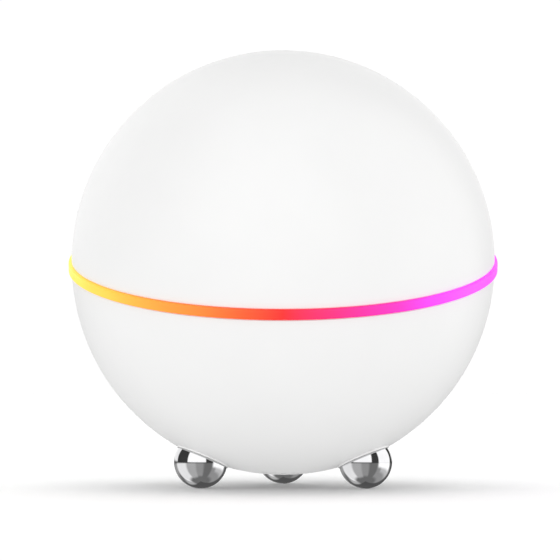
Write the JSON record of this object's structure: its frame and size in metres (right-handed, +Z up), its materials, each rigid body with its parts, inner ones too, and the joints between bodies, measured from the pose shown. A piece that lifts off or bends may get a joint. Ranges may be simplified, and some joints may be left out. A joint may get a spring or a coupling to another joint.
{
  "type": "smart speaker",
  "caption": "Spherical smart speaker: two white shell halves with a glowing light ring tilted between them, on polished ball feet, with a down-firing loudspeaker and a rear port panel.",
  "frame": {"origin": "on the table, under the centre of the sphere", "axes": "+Z up, -Y towards the front where the light ring is lowest, +Y towards the rear ports, +X to the right of somebody facing the front"},
  "size_m": [0.1116, 0.11, 0.1137],
  "materials": {
    "shell_white": "fine satin moulded surface",
    "light_ring": "milky diffusing band, lit from inside",
    "ball_chrome": "mirror polished",
    "socket_white": "satin moulded",
    "panel_white": "fine texture",
    "button_grey": "satin moulded",
    "black_plastic": "glass-filled moulding",
    "inner_white": "plain moulding",
    "board_green": "solder mask over glass fibre",
    "chip_black": "moulded chip package",
    "lamp_white": "lamp bodies with clear fronts",
    "bright_metal": "plated steel",
    "heat_sink_metal": "extruded, clear anodised",
    "magnet_ferrite": "ground ferrite",
    "coil_copper": "enamelled copper winding",
    "gold_contact": "gold plated copper",
    "cone_paper": "pressed pulp",
    "soft_black": "moulded rubber",
    "spider_cloth": "resin-stiffened weave",
    "mesh_black": "acoustic mesh",
    "pad_blue": "silicone pad",
    "terminal_board": "laminated strip",
    "ribbon_amber": "polyimide film",
    "cable_black": "coaxial lead",
    "cable_red": "insulated wire",
    "connector_ivory": "nylon"
  },
  "bodies": {
    "housing": {"upper_shell": "shell_white", "lower_shell": "shell_white", "light_guide": "light_ring", "reflector_ring": "inner_white", "led_board": "board_green", "ring_leds": "lamp_white", "microphones": "bright_metal", "mid_frame": "black_plastic", "frame_screws": "bright_metal", "main_board": "board_green", "board_screws": "bright_metal", "processor": "chip_black", "thermal_pad": "pad_blue", "heat_sink": "heat_sink_metal", "memory_chips": "chip_black", "radio_module": "board_green", "radio_shield": "bright_metal", "amplifier_chip": "chip_black", "power_inductor": "magnet_ferrite", "power_capacitors": "bright_metal", "board_connectors": "connector_ivory", "antenna_carrier": "inner_white", "carrier_screws": "bright_metal", "antenna_left": "gold_contact", "antenna_right": "gold_contact", "antenna_cables": "cable_black", "port_panel": "panel_white", "port_board": "board_green", "power_socket": "bright_metal", "power_socket_tongue": "black_plastic", "audio_jack": "black_plastic", "reset_switch": "bright_metal", "port_board_screws": "bright_metal", "port_ribbon": "ribbon_amber", "led_ribbon": "ribbon_amber", "speaker_cable": "cable_red", "speaker_mount": "black_plastic", "mount_screws": "bright_metal", "acoustic_mesh": "mesh_black", "driver_gasket": "soft_black", "driver_basket": "black_plastic", "driver_front_plate": "bright_metal", "driver_magnet": "magnet_ferrite", "driver_yoke": "bright_metal", "spider": "spider_cloth", "surround": "soft_black", "driver_terminals": "terminal_board", "driver_screws": "bright_metal", "foot_ball_left": "ball_chrome", "foot_ball_right": "ball_chrome", "foot_ball_rear": "ball_chrome", "foot_socket_left": "socket_white", "foot_socket_right": "socket_white", "foot_socket_rear": "socket_white", "foot_screws": "bright_metal"},
    "cone_assembly": {"cone": "cone_paper", "dust_cap": "cone_paper", "voice_coil": "coil_copper"},
    "reset_key": {"reset_button": "button_grey", "reset_plunger": "black_plastic"}
  },
  "joints": [
    {"name": "cone_travel", "type": "slide", "parent": "housing", "child": "cone_assembly", "axis": [0, 0, 1], "range_m": [-0.0015, 0.0015], "stiffness_N_per_m": 1500, "deforming": ["surround", "spider"]},
    {"name": "reset_press", "type": "slide", "parent": "housing", "child": "reset_key", "axis": [0, -1, 0], "range_m": [0, 0.0006], "stiffness_N_per_m": 2200, "springref_m": -0.0002}
  ]
}
